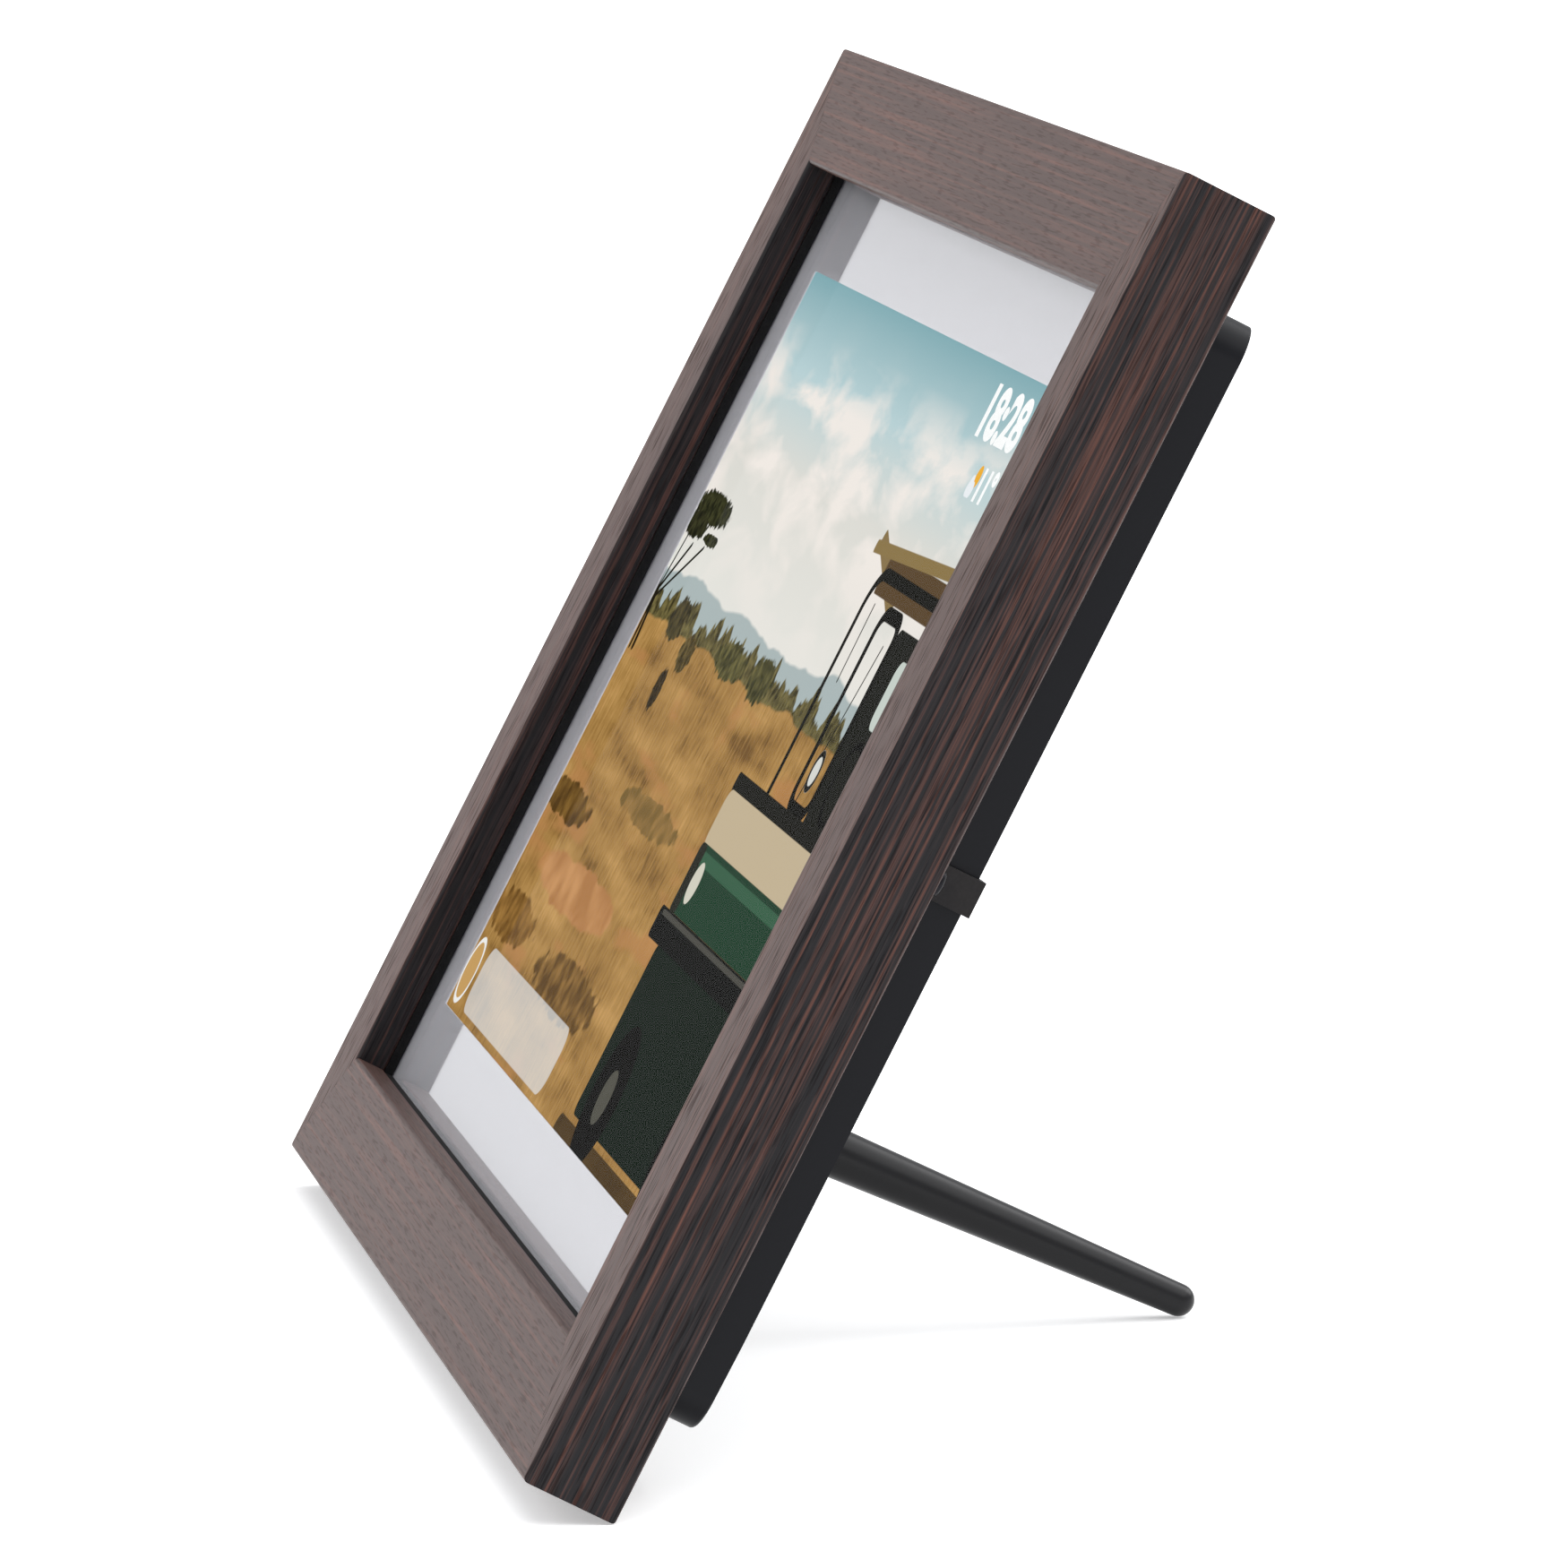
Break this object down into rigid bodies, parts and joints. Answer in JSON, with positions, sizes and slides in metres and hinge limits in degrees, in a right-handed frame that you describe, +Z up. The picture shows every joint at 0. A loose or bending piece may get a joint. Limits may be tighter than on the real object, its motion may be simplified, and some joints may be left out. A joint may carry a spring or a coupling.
{
  "type": "digital photo frame",
  "caption": "Table-top digital photo frame: matted landscape screen in a mitred dark wood moulding, plastic rear housing, and a tapered leg that screws into the back.",
  "frame": {"origin": "middle of the footprint on the table, at the bottom centre of the bounding box", "axes": "+Z up, +X to the right as seen from in front of the screen, +Y from the screen towards the back, where the leg stands; the frame leans back by 27.4 degrees"},
  "size_m": [0.44, 0.1794, 0.2716],
  "materials": {
    "dark_wood": "dark open-grain veneer, satin",
    "nail_steel": "bare sheet steel",
    "foam": "closed-cell foam, matte",
    "clear_glass": "clear float glass",
    "mat_paper": "white mat board, matte",
    "lit_screen": "lit liquid-crystal picture",
    "light_guide": "acrylic light guide and diffuser films",
    "plated_steel": "tin-plated sheet steel",
    "flex_film": "polyimide ribbon",
    "circuit_board": "green solder mask on glass-epoxy",
    "flex_dark": "printed aerial on black film",
    "zinc_screw": "zinc-plated steel",
    "component_plastic": "moulded black plastic",
    "cover_plastic": "black ABS, fine satin",
    "black_screw": "black-oxide steel",
    "clip_steel": "black-coated sheet steel",
    "brass": "turned brass",
    "leg_paint": "satin black powder coat",
    "stud_steel": "rolled steel thread",
    "washer_rubber": "black rubber"
  },
  "bodies": {
    "frame": {"top_rail": "dark_wood", "bottom_rail": "dark_wood", "left_stile": "dark_wood", "right_stile": "dark_wood", "v_nail_top_left_1": "nail_steel", "v_nail_top_left_2": "nail_steel", "v_nail_top_right_1": "nail_steel", "v_nail_top_right_2": "nail_steel", "v_nail_bottom_left_1": "nail_steel", "v_nail_bottom_left_2": "nail_steel", "v_nail_bottom_right_1": "nail_steel", "v_nail_bottom_right_2": "nail_steel", "glass_gasket": "foam", "cover_glass": "clear_glass", "mat_board": "mat_paper", "lcd_cell": "lit_screen", "backlight_guide": "light_guide", "screen_chassis": "plated_steel", "processor_shield": "plated_steel", "wifi_module": "plated_steel", "usb_port": "plated_steel", "card_slot": "plated_steel", "display_flex": "flex_film", "main_board": "circuit_board", "wifi_antenna": "flex_dark", "board_screw_1": "zinc_screw", "board_screw_2": "zinc_screw", "board_screw_3": "zinc_screw", "board_screw_4": "zinc_screw", "power_jack": "component_plastic", "power_switch": "component_plastic", "speaker_left": "component_plastic", "speaker_right": "component_plastic", "rear_cover": "cover_plastic", "cover_screw_1": "black_screw", "cover_screw_2": "black_screw", "cover_screw_3": "black_screw", "cover_screw_4": "black_screw", "clip_screw_left": "black_screw", "clip_screw_right": "black_screw", "clip_screw_top": "black_screw", "clip_screw_bottom": "black_screw", "clip_left": "clip_steel", "clip_right": "clip_steel", "clip_top": "clip_steel", "clip_bottom": "clip_steel", "leg_insert": "brass", "portrait_insert": "brass"},
    "leg_washer": {"leg_washer": "washer_rubber"},
    "leg": {"leg": "leg_paint", "leg_stud": "stud_steel"},
    "power_button": {"power_button": "cover_plastic"}
  },
  "joints": [
    {"name": "leg_advance", "type": "slide", "parent": "frame", "child": "leg_washer", "axis": [0, 0.9092, -0.4164], "range_m": [0, 0.007]},
    {"name": "leg_screw", "type": "hinge", "parent": "leg_washer", "child": "leg", "pos_m": [0, -0.02959, 0.05668], "axis": [0, 0.9092, -0.4164], "range_deg": [0, 2525]},
    {"name": "power_press", "type": "slide", "parent": "frame", "child": "power_button", "axis": [1, 0, 0], "range_m": [0, 0.0006], "stiffness_N_per_m": 800, "springref_m": -0.001}
  ],
  "couplings": [
    {"joint": "leg_screw", "follows": "leg_advance", "rad_per_m": 6283.2}
  ]
}
